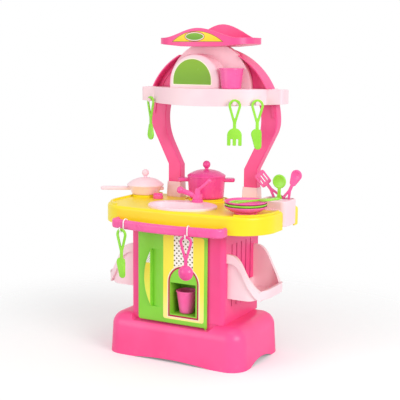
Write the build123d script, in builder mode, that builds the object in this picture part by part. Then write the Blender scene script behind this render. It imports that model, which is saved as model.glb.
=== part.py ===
from build123d import *
import math
import os

os.makedirs("parts", exist_ok=True)

# A toy kitchen in millimetres. X runs to the right, Y to the back, Z up.
# The origin is the middle of the base, on the floor.

# Clearances
air = 0.4
running = 0.05
slip = 0.2

# Base
base_width = 384.0
base_depth = 246.0
base_corner = 45.0
base_height = 104.0
base_draft = 3.5
base_shoulder = 34.0
base_wall = 3.0
base_rib = 4.0
base_foot = 60.0
base_foot_tall = 30.0
front_arch_width = 224.0
front_arch_rise = 7.0
side_arch_width = 124.0
side_arch_rise = 13.0
scoop_drop = 14.0
scoop_margin = 9.0

# Cabinet
cabinet_half = 131.0
cabinet_front = -92.0
cabinet_back = 101.0
cabinet_wall = 3.0
cabinet_corner = 12.0
frame_return = 17.0
frame_top = 340.0
opening_margin = 9.0
slot_count = 5
slot_pitch = 26.0
slot_middle = 3.0
slot_width = 4.5
slot_low = 143.0
slot_high = 299.0
boss_size = 11.0
screw_radius = 1.5
screw_length = 12.0
screw_head_radius = 3.6
screw_head = 2.2
screw_rows = 3
screw_row_pitch = 105.0
screw_row_middle = 235.0

# Door
door_left = -105.0
door_right = 89.0
door_top = 322.0
door_lift = 3.5
door_thick = 8.0
door_gap = 1.0
door_corner = 7.0
door_edge = 2.2
pin_radius = 2.5
pin_reach = 6.5
lug_thick = 6.0
lug_reach = 7.0
niche_left = -12.0
niche_right = 59.0
niche_low = 118.5
niche_high = 198.0
niche_depth = 57.0
niche_wall = 2.5
grip_x = -65.0
grip_low = 131.0
grip_high = 277.0
grip_bulge = 22.0
grip_proud = 5.0
grip_pocket_width = 28.0
grip_pocket_deep = 5.0
grip_edge = 2.0

# Worktop
worktop_x = 8.0
worktop_half = 230.0
worktop_front = -130.0
worktop_back = 128.0
worktop_bow = 14.0
worktop_front_corner = 92.0
worktop_rear_corner = 30.0
worktop_top = 380.0
worktop_skirt = 45.0
worktop_wall = 3.0
worktop_round = 8.0
bead_inset = 7.0
bead_width = 6.0
bead_rise = 3.5
bead_from = 165.0
hob_rise = 6.0
pot_ring_radius = 59.0
pot_ring_width = 4.0
pot_ring_rise = 3.0

# Sink and tap
sink_x = -5.0
sink_y = -54.0
sink_half_width = 90.0
sink_half_depth = 70.0
sink_rim = 6.0
sink_edge = 2.5
bowl_x = -14.0
bowl_y = -66.0
bowl_half_width = 70.0
bowl_half_depth = 47.0
bowl_deep = 30.0
bowl_draw = 12.0
sink_wall = 2.6
tap_x = 8.0
tap_y = 0.0
tap_turn = 28.0
tap_base_radius = 14.0
tap_base_height = 7.0
tap_post_radius = 6.0
collar_radius = 12.5
collar_height = 14.0
spout_radius = 6.5
spout_length = 46.0
spout_rise = 20.0
spout_bulb = 9.0
ear_thick = 4.0
ear_height = 14.0
ear_root = 2.0
lever_hub_radius = 6.5
lever_hub_width = 9.0
lever_pin_radius = 2.2
lever_radius = 4.5
lever_length = 38.0
lever_rise = 40.0
lever_ball = 6.0
knob_x = -128.0
knob_y = 35.0
knob_radius = 13.0
knob_height = 14.0
knob_grip_width = 6.0
knob_grip_rise = 4.0
knob_shaft_radius = 4.0

# Arch
limb_foot_inner = 92.5
limb_foot_width = 36.5
limb_front = 90.0
limb_depth = 24.0
limb_kink = 466.0
limb_lean = 27.0
arch_centre = 590.0
arch_outer = 183.0
arch_width = 45.0
limb_bead_width = 8.0
limb_bead_proud = 2.0
limb_bead_from = 3.0
limb_bead_sweep = 83.0
limb_edge = 2.5
hood_reach = 24.0
hood_wall = 3.0
socket_height = 40.0
socket_wall = 4.0
socket_draft = 3.0
socket_floor = 4.0

# Upper shelf
shelf_half = 168.0
shelf_front = -5.0
shelf_bow_radius = 280.0
shelf_corner = 105.0
shelf_back = 132.0
shelf_top = 670.0
shelf_apron = 35.0
shelf_sag = 8.0
shelf_wall = 3.0
shelf_edge = 2.0
ear_beyond = 20.0
ear_before = 18.0
ear_behind = 4.0
ear_corner = 10.0
ear_drop = 1.2
peg_radius = 3.0
peg_z = 636.5
peg_length = 17.0
peg_end_radius = 4.6
peg_end_thick = 2.4
peg_hang = 12.0
fork_peg_share = 0.613
side_peg_at = 53.0
side_peg_turn = 27.0

# Oven panel and canopy
panel_radius = 115.0
panel_front = 72.0
oven_x = -22.0
oven_half = 71.0
oven_front = 32.0
oven_sides = 14.0
oven_edge = 5.0
panel_wall = 2.6
canopy_half = 130.0
canopy_front = 8.0
canopy_back = 148.0
canopy_corner = 52.0
canopy_bow = 14.0
canopy_flat = 46.0
canopy_end_lift = 7.0
canopy_wall = 3.0
canopy_rim = 795.0
canopy_front_peak = 818.0
canopy_rear_peak = 831.0
canopy_wave_half = 94.0

# Towel rail and its hooks
rail_half = 149.0
rail_end = -148.0
rail_mid_half = 38.0
rail_mid = -165.0
rail_thick = 12.0
rail_tall = 23.0
rail_low = 330.0
rail_corner = 14.0
rail_mid_round = 300.0
hook_wire = 1.6
hook_curl = 7.0
hook_back = 8.0
hook_drop = 14.0
hook_tip = 5.0
ladle_x = 70.0
knife_x = -108.0

# Baskets
basket_front = -72.0
basket_back = 76.0
basket_low = 168.0
basket_high = 279.0
basket_reach = 95.0
basket_foot = 52.0
basket_trough = 190.0
basket_lip_z = 195.0
basket_lip_tall = 12.0
basket_wall = 2.6
basket_band = 22.0
basket_band_proud = 7.0
basket_corner = 50.0
# Shares of the basket's reach, and of its rim's fall, that shape its rim and floor
rim_brow_reach = 0.25
rim_brow_fall = 0.06
rim_slope_reach = 0.5
rim_slope_fall = 0.43
rim_toe_reach = 0.7
rim_toe_fall = 0.79
rim_trough_reach = 0.86
floor_bend_reach = 0.8
floor_bend_rise = 0.28
basket_sill = 26.0
basket_tab_z = 172.0
basket_tab_tall = 8.0
basket_tab_beyond = 2.0

# Utensil holder
holder_left = 166.0
holder_right = 246.0
holder_front = 8.0
holder_back = 80.0
holder_low = 342.0
holder_top = 404.0
holder_corner = 16.0
holder_wall = 4.0
holder_slot_front = 48.0
holder_flange = 5.0
holder_flange_thick = 3.0
holder_edge = 3.0
turner_stand_x = 195.5
turner_stand_y = 69.5
turner_lean = -42.0
turner_depth = 30.0
petal_stand_x = 222.0
petal_stand_y = 64.0
petal_lean = 24.0
petal_depth = 35.0
round_stand_x = 206.0
round_stand_y = 57.0
round_lean = 0.0
round_depth = 46.0

# Cutlery
utensil_thick = 4.6
utensil_edge = 1.4
loop_radius = 15.5
loop_bar = 6.2
loop_length = 56.0
loop_hole_end = 45.0
loop_hole_tip = 1.2
neck_half = 4.0
neck_end = 76.0
head_start = 70.0
utensil_length = 113.0
fork_radius = 18.0
tine_gap = 5.0
tine_length = 16.0
tine_round = 2.0
spoon_half = 13.5
spoon_shoulder = 8.0
petal_half = 14.0
petal_shoulder = 9.0
round_spoon_radius = 17.5
dish_deep = 1.4
dish_margin = 3.5
knife_length = 123.0
blade_belly = 13.0
blade_tip = 9.0
blade_heel = 4.0
blade_sweep = 2.0
turner_half = 15.0
turner_length = 38.0
turner_round = 5.0
turner_slot_width = 3.6
turner_slot_length = 20.0
turner_slot_pitch = 8.5
ladle_radius = 18.5
ladle_dome = 10.0
ladle_wall = 2.4

# Crockery
pot_x = -8.0
pot_y = 78.0
pot_turn = 24.0
pot_radius = 48.5
pot_foot = 45.0
pot_foot_round = 6.5
pot_height = 55.0
pot_handle_reach = 25.0
pot_handle_width = 30.0
pot_handle_thick = 9.0
pot_handle_z = 42.5
pot_handle_edge = 3.0
pot_handle_round = 9.0
lid_lip = 3.0
lid_neck = 3.0
lid_overhang = 1.0
lid_shoulder_out = 0.62
lid_shoulder_up = 0.7
pot_lid_dome = 15.0
pot_knob_radius = 10.0
pan_x = -181.0
pan_y = 58.0
pan_turn = 208.0
pan_radius = 45.0
pan_foot = 35.0
pan_height = 22.0
pan_handle_reach = 74.0
pan_handle_width = 17.0
pan_handle_thick = 9.0
pan_handle_edge = 3.0
pan_handle_below_rim = 3.0
pan_lug_reach = 4.0
pan_lid_overhang = 3.5
pan_lid_dome = 18.0
pan_knob_radius = 9.5
vessel_wall = 2.4
vessel_foot_round = 3.5
plate_x = 172.0
plate_y = -62.0
plate_radius = 51.0
plate_foot = 28.0
plate_rise = 13.0
plate_curve = 0.35
plate_wall = 2.4
plate_foot_ring = 3.2
plate_foot_ring_width = 2.4
plate_knife_turn = 28.0
plate_knife_back = 41.0
plate_knife_dip = 8.0
niche_cup_rim = 25.5
niche_cup_foot = 17.5
niche_cup_height = 57.0
niche_cup_x = 19.0
shelf_cup_rim = 29.5
shelf_cup_foot = 24.0
shelf_cup_height = 50.0
shelf_cup_x = 82.0
shelf_cup_y = 34.0
cup_wall = 2.0
cup_lip = 1.4
cup_lip_tall = 3.0

# Worked out from the above
cabinet_low = base_height
cabinet_top = worktop_top - worktop_wall
door_low = base_height - scoop_drop + door_lift
door_back = cabinet_front - door_gap
door_front = door_back - door_thick
hinge_radius = door_thick / 2
hinge_x = door_right - hinge_radius
hinge_y = door_back - hinge_radius
hob_top = worktop_top + hob_rise
sink_top = worktop_top + sink_rim
limb_foot_outer = limb_foot_inner + limb_foot_width
limb_foot_middle = limb_foot_inner + limb_foot_width / 2
limb_back = limb_front + limb_depth
limb_middle_y = limb_front + limb_depth / 2
canopy_low = arch_centre + arch_outer
rail_slope = (rail_end - rail_mid) / (rail_half - rail_mid_half)
rail_middle_z = rail_low + rail_tall / 2
plate_pitch = plate_wall + plate_foot_ring + air
# Pegs: one stands on the shelf's bowed front, two on its round corners
bow_centre_y = shelf_front + shelf_bow_radius
fork_peg_x = fork_peg_share * shelf_half
fork_peg_y = bow_centre_y - math.sqrt(shelf_bow_radius**2 - fork_peg_x**2)
fork_peg_turn = math.degrees(math.asin(fork_peg_x / shelf_bow_radius))
peg_corner_x = shelf_half - shelf_corner
peg_corner_y = bow_centre_y - math.sqrt((shelf_bow_radius - shelf_corner) ** 2 - peg_corner_x**2)
side_peg_x = peg_corner_x + shelf_corner * math.sin(math.radians(side_peg_at))
side_peg_y = peg_corner_y - shelf_corner * math.cos(math.radians(side_peg_at))


def save(piece, name):
    """Label a finished piece and write it as its own file."""
    piece.label = name
    export_step(piece, f"parts/{name}.step")


def pillow(width, depth, corner, height, shoulder):
    """A drafted block with a large rounded shoulder."""
    with BuildPart() as form:
        with BuildSketch():
            RectangleRounded(width, depth, corner)
        extrude(amount=height, taper=base_draft)
        fillet(form.faces().sort_by(Axis.Z)[-1].edges(), shoulder)
    return form.part


def door_scoop(grow):
    """The room in front of the cabinet in which the door's lower edge swings."""
    floor = base_height - scoop_drop - grow
    left = door_left - scoop_margin - grow
    right = door_right + scoop_margin + grow
    with BuildPart() as form:
        with BuildSketch(Plane.XZ.offset(-cabinet_front - grow)):
            with BuildLine():
                Polyline(
                    (left, floor),
                    (right, floor),
                    (right + scoop_drop + grow, base_height + grow),
                    (left - scoop_drop - grow, base_height + grow),
                    close=True,
                )
            make_face()
        extrude(amount=base_depth)
    return form.part


# Base
base_inner_height = base_height - base_wall
with BuildPart() as base_void:
    add(
        pillow(
            base_width - 2 * base_wall,
            base_depth - 2 * base_wall,
            base_corner - base_wall,
            base_inner_height,
            base_shoulder - base_wall,
        )
    )
    add(door_scoop(base_wall), mode=Mode.SUBTRACT)
    with BuildSketch():
        Rectangle(base_width, base_rib)
    extrude(amount=base_height, mode=Mode.SUBTRACT)

with BuildPart() as base_plinth:
    add(pillow(base_width, base_depth, base_corner, base_height, base_shoulder))
    add(door_scoop(0), mode=Mode.SUBTRACT)
    add(base_void.part, mode=Mode.SUBTRACT)
    with BuildSketch(Plane.XZ):
        with BuildLine():
            half = front_arch_width / 2
            ThreePointArc((-half, 0), (0, front_arch_rise), (half, 0))
            Line((half, 0), (-half, 0))
        make_face()
    extrude(amount=base_depth, both=True, mode=Mode.SUBTRACT)
    with BuildSketch(Plane.YZ):
        with BuildLine():
            half = side_arch_width / 2
            ThreePointArc((-half, 0), (0, side_arch_rise), (half, 0))
            Line((half, 0), (-half, 0))
        make_face()
    extrude(amount=base_width, both=True, mode=Mode.SUBTRACT)
    with BuildSketch():
        Rectangle(base_foot, base_rib)
    extrude(amount=base_foot_tall)
    with BuildSketch():
        with Locations((hinge_x, hinge_y)):
            Circle(pin_radius + running)
    extrude(amount=base_height, mode=Mode.SUBTRACT)
save(base_plinth.part, "base_plinth")


def channel_outline(inset):
    """The front frame's plan: a shallow channel with rounded front corners."""
    with BuildSketch() as plan:
        with Locations((0, cabinet_front + frame_return / 2 + inset)):
            Rectangle(2 * (cabinet_half - inset), frame_return)
        fillet(plan.vertices().group_by(Axis.Y)[0], cabinet_corner - inset)
    return plan.sketch


# Cabinet
with BuildPart() as cabinet_front_frame:
    with BuildSketch(Plane.XY.offset(cabinet_low)):
        add(channel_outline(0))
        add(channel_outline(cabinet_wall), mode=Mode.SUBTRACT)
    extrude(amount=frame_top - cabinet_low)
    opening_left = door_left + opening_margin
    opening_right = hinge_x - opening_margin
    opening_low = cabinet_low + opening_margin
    opening_high = door_top - opening_margin
    with BuildSketch(Plane.XZ.offset(-cabinet_front - cabinet_wall)):
        with Locations(((opening_left + opening_right) / 2, (opening_low + opening_high) / 2)):
            RectangleRounded(opening_right - opening_left, opening_high - opening_low, door_corner)
    extrude(amount=2 * cabinet_wall, mode=Mode.SUBTRACT)
    with BuildSketch(Plane.XY.offset(door_top + air)):
        with Locations((hinge_x, hinge_y)):
            Circle(lug_reach)
        with Locations((hinge_x, (hinge_y + cabinet_front) / 2)):
            Rectangle(2 * lug_reach, cabinet_front - hinge_y)
        with Locations((hinge_x, hinge_y)):
            Circle(pin_radius + running, mode=Mode.SUBTRACT)
        with Locations((hinge_x, cabinet_front + lug_reach)):
            Rectangle(4 * lug_reach, 2 * lug_reach, mode=Mode.SUBTRACT)
    extrude(amount=lug_thick)
save(cabinet_front_frame.part, "cabinet_front_frame")

side_front = cabinet_front + frame_return
side_back = cabinet_back - cabinet_wall
screw_x = cabinet_half - cabinet_wall - boss_size / 2
with BuildPart() as cabinet_right_side:
    with BuildSketch(Plane.XY.offset(cabinet_low)):
        with Locations((cabinet_half - cabinet_wall / 2, (side_front + side_back) / 2)):
            Rectangle(cabinet_wall, side_back - side_front)
        with Locations((screw_x, side_back - boss_size / 2)):
            Rectangle(boss_size, boss_size)
    extrude(amount=cabinet_top - cabinet_low)
    with BuildSketch(Plane.YZ.offset(cabinet_half - cabinet_wall)):
        with Locations((slot_middle, (slot_low + slot_high) / 2)):
            with GridLocations(slot_pitch, 1, slot_count, 1):
                SlotOverall(slot_high - slot_low, slot_width, rotation=90)
    extrude(amount=cabinet_wall, mode=Mode.SUBTRACT)
    with BuildSketch(Plane.XZ.offset(-side_back)):
        with Locations((screw_x, screw_row_middle)):
            with GridLocations(1, screw_row_pitch, 1, screw_rows):
                Circle(screw_radius + running)
    extrude(amount=screw_length, mode=Mode.SUBTRACT)
save(cabinet_right_side.part, "cabinet_right_side")

with BuildPart() as cabinet_left_side:
    mirror(cabinet_right_side.part, about=Plane.YZ)
save(cabinet_left_side.part, "cabinet_left_side")

with BuildPart() as cabinet_back_panel:
    with BuildSketch(Plane.XZ.offset(-cabinet_back)):
        with Locations((0, (cabinet_low + cabinet_top) / 2)):
            Rectangle(2 * cabinet_half, cabinet_top - cabinet_low)
        with Locations((0, screw_row_middle)):
            with GridLocations(2 * screw_x, screw_row_pitch, 2, screw_rows):
                Circle(screw_radius + slip, mode=Mode.SUBTRACT)
    extrude(amount=cabinet_wall)
save(cabinet_back_panel.part, "cabinet_back")

with BuildPart() as back_screws:
    with BuildSketch(Plane.XZ.offset(-cabinet_back)):
        with Locations((0, screw_row_middle)):
            with GridLocations(2 * screw_x, screw_row_pitch, 2, screw_rows):
                Circle(screw_head_radius)
    extrude(amount=-screw_head)
    chamfer(back_screws.faces().group_by(Axis.Y)[-1].edges(), screw_head / 3)
    with BuildSketch(Plane.XZ.offset(-cabinet_back)):
        with Locations((0, screw_row_middle)):
            with GridLocations(2 * screw_x, screw_row_pitch, 2, screw_rows):
                Circle(screw_radius)
    extrude(amount=screw_length)
save(back_screws.part, "back_screws")

# Door
door_middle_z = (door_low + door_top) / 2
with BuildPart() as door_panel:
    with BuildSketch(Plane.XZ.offset(-door_back)) as leaf:
        with Locations(((door_left + hinge_x) / 2, door_middle_z)):
            Rectangle(hinge_x - door_left, door_top - door_low)
        fillet(leaf.vertices().group_by(Axis.X)[0], door_corner)
    extrude(amount=door_thick)
    front_edges = door_panel.faces().sort_by(Axis.Y)[0].edges()
    fillet(front_edges.sort_by(Axis.X)[:-1], door_edge)
    with BuildSketch(Plane.XY.offset(door_low)):
        with Locations((hinge_x, hinge_y)):
            Circle(hinge_radius)
    extrude(amount=door_top - door_low)
    with BuildSketch(Plane.XY.offset(door_low - pin_reach)):
        with Locations((hinge_x, hinge_y)):
            Circle(pin_radius)
    extrude(amount=door_top - door_low + 2 * pin_reach)
    with BuildSketch(Plane.XZ.offset(-door_back)):
        with Locations(((niche_left + niche_right) / 2, (niche_low + niche_high) / 2)):
            Rectangle(niche_right - niche_left + 2 * niche_wall, niche_high - niche_low + 2 * niche_wall)
    extrude(amount=door_thick - niche_depth - niche_wall)
    with BuildSketch(Plane.XZ.offset(-door_front)):
        with Locations(((niche_left + niche_right) / 2, (niche_low + niche_high) / 2)):
            Rectangle(niche_right - niche_left, niche_high - niche_low)
    extrude(amount=-niche_depth, mode=Mode.SUBTRACT)
    with BuildSketch(Plane.XY.offset(grip_low)):
        with BuildLine():
            Polyline(
                (grip_x, door_front),
                (grip_x, door_front + grip_pocket_deep),
                (grip_x + grip_pocket_width, door_front),
                close=True,
            )
        make_face()
    extrude(amount=grip_high - grip_low, mode=Mode.SUBTRACT)
    with BuildSketch(Plane.XZ.offset(-door_front)):
        with BuildLine():
            middle = (grip_low + grip_high) / 2
            ThreePointArc((grip_x, grip_low), (grip_x - grip_bulge, middle), (grip_x, grip_high))
            Line((grip_x, grip_high), (grip_x, grip_low))
        make_face()
    extrude(amount=grip_proud)
    fillet(door_panel.faces().sort_by(Axis.Y)[0].edges(), grip_edge)
save(door_panel.part, "door_panel")


def worktop_outline(inset):
    """The worktop's plan, with a bowed front and large front corners."""
    left = worktop_x - worktop_half + inset
    right = worktop_x + worktop_half - inset
    front = worktop_front + inset
    side_front_y = front + worktop_bow
    back = worktop_back - inset
    with BuildSketch() as plan:
        with BuildLine():
            ThreePointArc((left, side_front_y), (worktop_x, front), (right, side_front_y))
            Polyline((right, side_front_y), (right, back), (left, back), (left, side_front_y))
        make_face()
        fillet(plan.vertices().group_by(Axis.Y)[0], worktop_front_corner - inset)
        fillet(plan.vertices().group_by(Axis.Y)[-1], worktop_rear_corner - inset)
    return plan.sketch


# Worktop
worktop_low = worktop_top - worktop_skirt
worktop_right = worktop_x + worktop_half
with BuildPart() as worktop_void:
    with BuildSketch(Plane.XY.offset(worktop_low)):
        add(worktop_outline(worktop_wall))
    extrude(amount=worktop_skirt - worktop_wall)
    fillet(worktop_void.faces().sort_by(Axis.Z)[-1].edges(), worktop_round - worktop_wall)

with BuildPart() as worktop:
    with BuildSketch(Plane.XY.offset(worktop_low)):
        add(worktop_outline(0))
    extrude(amount=worktop_skirt)
    fillet(worktop.faces().sort_by(Axis.Z)[-1].edges(), worktop_round)
    with BuildSketch(Plane.XY.offset(worktop_top - worktop_wall)):
        add(worktop_outline(bead_inset))
        add(worktop_outline(bead_inset + bead_width), mode=Mode.SUBTRACT)
        Rectangle(2 * bead_from, 4 * worktop_half, mode=Mode.SUBTRACT)
    extrude(amount=worktop_wall + bead_rise)
    add(worktop_void.part, mode=Mode.SUBTRACT)
    with BuildSketch(Plane.XY.offset(worktop_top)):
        with Locations((pot_x, pot_y)):
            Circle(pot_foot + slip)
        with Locations((pan_x, pan_y)):
            Circle(pan_foot)
    extrude(amount=hob_rise)
    with BuildSketch(Plane.XY.offset(worktop_top)):
        with Locations((pot_x, pot_y)):
            Circle(pot_ring_radius)
            Circle(pot_ring_radius - pot_ring_width, mode=Mode.SUBTRACT)
    extrude(amount=pot_ring_rise)
    with BuildSketch(Plane.XY.offset(worktop_low)):
        with Locations(((holder_left + worktop_right) / 2, (holder_front + holder_back) / 2)):
            Rectangle(worktop_right - holder_left + 2 * slip, holder_back - holder_front + 2 * slip)
    extrude(amount=worktop_skirt + hob_rise, mode=Mode.SUBTRACT)
    with BuildSketch(Plane.XY.offset(worktop_top)):
        with Locations(((holder_left + worktop_right) / 2, (holder_front + holder_back) / 2)):
            Rectangle(
                worktop_right - holder_left + 2 * (holder_flange + slip),
                holder_back - holder_front + 2 * (holder_flange + slip),
            )
    extrude(amount=hob_rise, mode=Mode.SUBTRACT)
    with BuildSketch(Plane.XY.offset(worktop_top - worktop_wall)):
        with Locations((bowl_x, bowl_y)):
            Ellipse(bowl_half_width + sink_wall + slip, bowl_half_depth + sink_wall + slip)
        with Locations((knob_x, knob_y)):
            Circle(knob_shaft_radius + running)
    extrude(amount=worktop_wall, mode=Mode.SUBTRACT)
save(worktop.part, "worktop")

# Sink
with BuildPart() as sink_void:
    with BuildSketch(Plane.XY.offset(sink_top)):
        with Locations((bowl_x, bowl_y)):
            Ellipse(bowl_half_width, bowl_half_depth)
    with BuildSketch(Plane.XY.offset(sink_top - bowl_deep)):
        with Locations((bowl_x, bowl_y)):
            Ellipse(bowl_half_width - bowl_draw, bowl_half_depth - bowl_draw)
    loft()

with BuildPart() as sink_basin:
    with BuildSketch(Plane.XY.offset(worktop_top)):
        with Locations((sink_x, sink_y)):
            Ellipse(sink_half_width, sink_half_depth)
    extrude(amount=sink_rim)
    fillet(sink_basin.faces().sort_by(Axis.Z)[-1].edges(), sink_edge)
    with BuildSketch(Plane.XY.offset(sink_top - sink_rim)):
        with Locations((bowl_x, bowl_y)):
            Ellipse(bowl_half_width + sink_wall, bowl_half_depth + sink_wall)
    with BuildSketch(Plane.XY.offset(sink_top - bowl_deep - sink_wall)):
        with Locations((bowl_x, bowl_y)):
            Ellipse(bowl_half_width - bowl_draw + sink_wall, bowl_half_depth - bowl_draw + sink_wall)
    loft()
    add(sink_void.part, mode=Mode.SUBTRACT)
save(sink_basin.part, "sink_basin")

# Tap
tap_dir = Vector(math.cos(math.radians(tap_turn)), math.sin(math.radians(tap_turn)), 0)
collar_low = sink_top + tap_base_height + air
collar_top = collar_low + collar_height
tap_foot = Plane((tap_x, tap_y, sink_top))
with BuildPart() as tap_base:
    with BuildSketch(tap_foot):
        Circle(tap_base_radius)
    extrude(amount=tap_base_height)
    fillet(tap_base.faces().sort_by(Axis.Z)[-1].edges(), sink_edge)
    with BuildSketch(tap_foot):
        Circle(tap_post_radius)
    extrude(amount=collar_top - sink_top - ear_thick)
save(tap_base.part, "tap_base")

spout_dir = Vector(-tap_dir.X, -tap_dir.Y, 0) * math.cos(math.radians(spout_rise))
spout_dir = spout_dir + Vector(0, 0, math.sin(math.radians(spout_rise)))
spout_root = Vector(tap_x, tap_y, (collar_low + collar_top) / 2)
ear_axis_z = collar_top + ear_height - lever_hub_radius
ear_plane = Plane((tap_x, tap_y, 0), x_dir=tap_dir, z_dir=(tap_dir.Y, -tap_dir.X, 0))
ear_gap = lever_hub_width / 2 + air
with BuildPart() as tap_spout:
    with BuildSketch(Plane((tap_x, tap_y, collar_low))):
        Circle(collar_radius)
    extrude(amount=collar_height)
    with BuildSketch(Plane(spout_root, x_dir=spout_dir, z_dir=ear_plane.z_dir)) as tube:
        with Locations((spout_length, 0)):
            Circle(spout_bulb)
        with Locations((spout_length / 2, 0)):
            Rectangle(spout_length, 2 * spout_radius)
        split(bisect_by=Plane.XZ)
    revolve(axis=Axis(spout_root, spout_dir))
    for side in (-1, 1):
        with BuildSketch(ear_plane.offset(side * (ear_gap + ear_thick / 2))):
            with Locations((0, ear_axis_z)):
                Circle(lever_hub_radius)
            with Locations((0, (ear_axis_z + collar_top) / 2)):
                Rectangle(2 * lever_hub_radius, ear_axis_z - collar_top + ear_root)
            with Locations((0, ear_axis_z)):
                Circle(lever_pin_radius + running, mode=Mode.SUBTRACT)
        extrude(amount=ear_thick / 2, both=True)
    with BuildSketch(Plane((tap_x, tap_y, collar_low))):
        Circle(tap_post_radius + running)
    extrude(amount=collar_height - ear_thick + air, mode=Mode.SUBTRACT)
save(tap_spout.part, "tap_spout")

lever_dir = tap_dir * math.cos(math.radians(lever_rise)) + Vector(0, 0, math.sin(math.radians(lever_rise)))
lever_root = Vector(tap_x, tap_y, ear_axis_z)
lever_plane = Plane(lever_root, z_dir=lever_dir)
with BuildPart() as tap_lever:
    with BuildSketch(ear_plane):
        with Locations((0, ear_axis_z)):
            Circle(lever_hub_radius - air)
    extrude(amount=lever_hub_width / 2, both=True)
    with BuildSketch(ear_plane):
        with Locations((0, ear_axis_z)):
            Circle(lever_pin_radius)
    extrude(amount=ear_gap + ear_thick, both=True)
    with BuildSketch(lever_plane):
        Circle(lever_radius - air)
    with BuildSketch(lever_plane.offset(lever_length)):
        Circle(lever_radius)
    loft()
    with Locations(lever_root + lever_dir * lever_length):
        Sphere(lever_ball)
save(tap_lever.part, "tap_lever")

# Hob knob
knob_foot = Plane((knob_x, knob_y, worktop_top + air))
with BuildPart() as hob_knob:
    with BuildSketch(knob_foot):
        Circle(knob_radius)
    extrude(amount=knob_height - knob_grip_rise)
    fillet(hob_knob.faces().sort_by(Axis.Z)[-1].edges(), sink_edge)
    with BuildSketch(knob_foot):
        SlotOverall(2 * knob_radius - knob_grip_width / 2, knob_grip_width, rotation=tap_turn)
    extrude(amount=knob_height)
    with BuildSketch(knob_foot):
        Circle(knob_shaft_radius)
    extrude(amount=-worktop_wall)
save(hob_knob.part, "hob_knob")


def limb_outline(outer_shift, inner_shift):
    """The right half of the arch seen from the front; shifts move its two edges outwards."""
    lean = math.radians(limb_lean)
    foot_z = worktop_top + socket_floor
    outer_foot = limb_foot_outer + outer_shift
    inner_foot = limb_foot_inner + inner_shift
    outer_top = arch_outer + outer_shift
    inner_top = arch_outer - arch_width + inner_shift

    def bend(foot, top):
        """Radius of the curve that brings the leaning edge back to upright."""
        rise = arch_centre - limb_kink
        return (rise - (top - foot) / math.tan(lean)) / (math.sin(lean) - (1 - math.cos(lean)) / math.tan(lean))

    def straight_end(foot, top):
        """Where the leaning straight meets that curve."""
        radius = bend(foot, top)
        return (top - radius * (1 - math.cos(lean)), arch_centre - radius * math.sin(lean))

    def bend_middle(foot, top):
        """A point halfway round that curve."""
        radius = bend(foot, top)
        half = lean / 2
        return (top - radius * (1 - math.cos(half)), arch_centre - radius * math.sin(half))

    turn = math.sqrt(0.5)
    with BuildSketch() as face:
        with BuildLine():
            Polyline(
                (inner_foot, limb_kink),
                (inner_foot, foot_z),
                (outer_foot, foot_z),
                (outer_foot, limb_kink),
            )
            Line((outer_foot, limb_kink), straight_end(outer_foot, outer_top))
            ThreePointArc(
                straight_end(outer_foot, outer_top),
                bend_middle(outer_foot, outer_top),
                (outer_top, arch_centre),
            )
            ThreePointArc(
                (outer_top, arch_centre),
                (outer_top * turn, arch_centre + outer_top * turn),
                (0, arch_centre + outer_top),
            )
            Line((0, arch_centre + outer_top), (0, arch_centre + inner_top))
            ThreePointArc(
                (0, arch_centre + inner_top),
                (inner_top * turn, arch_centre + inner_top * turn),
                (inner_top, arch_centre),
            )
            ThreePointArc(
                (inner_top, arch_centre),
                bend_middle(inner_foot, inner_top),
                straight_end(inner_foot, inner_top),
            )
            Line(straight_end(inner_foot, inner_top), (inner_foot, limb_kink))
        make_face()
    return face.sketch


# Arch: above the shelf its outer edge reaches forwards as a hood, up to the oven panel
hood_inner = arch_outer - hood_wall
panel_lift = shelf_top - arch_centre
hood_top = (hood_inner**2 - (panel_radius + slip) ** 2 + panel_lift**2) / (2 * panel_lift)
hood_from = math.degrees(math.asin((panel_lift + slip) / hood_inner))
hood_to = math.degrees(math.asin(hood_top / hood_inner))
with BuildPart() as right_upright:
    with BuildSketch(Plane.XZ.offset(-limb_back)):
        add(limb_outline(0, 0))
    extrude(amount=limb_depth)
    front_edges = right_upright.faces().sort_by(Axis.Y)[0].edges()
    fillet(front_edges.filter_by_position(Axis.X, 1, arch_outer), limb_edge)
    with BuildSketch(Plane.XZ.offset(-limb_front)):
        with BuildLine():
            bead_radius = arch_outer - limb_edge - limb_bead_width
            CenterArc((0, arch_centre), bead_radius, limb_bead_from, limb_bead_sweep)
        trace(line_width=limb_bead_width)
    extrude(amount=limb_bead_proud)
    with BuildSketch(Plane.XZ.offset(-limb_front - limb_edge)):
        with BuildLine():
            CenterArc((0, arch_centre), arch_outer - hood_wall / 2, hood_from, hood_to - hood_from)
        trace(line_width=hood_wall)
    extrude(amount=hood_reach + limb_edge)
save(right_upright.part, "right_upright")

with BuildPart() as left_upright:
    mirror(right_upright.part, about=Plane.YZ)
save(left_upright.part, "left_upright")

with BuildPart() as right_socket:
    with BuildSketch(Plane((limb_foot_middle, limb_middle_y, worktop_top))) as sleeve:
        Rectangle(limb_foot_width + 2 * socket_wall, limb_depth + 2 * socket_wall)
        fillet(sleeve.vertices(), socket_wall)
    extrude(amount=socket_height, taper=socket_draft)
    with BuildSketch(Plane((limb_foot_middle, limb_middle_y, worktop_top + socket_floor))):
        Rectangle(limb_foot_width + 2 * slip, limb_depth + 2 * slip)
    extrude(amount=socket_height, mode=Mode.SUBTRACT)
save(right_socket.part, "right_socket")

with BuildPart() as left_socket:
    mirror(right_socket.part, about=Plane.YZ)
save(left_socket.part, "left_socket")


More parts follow.
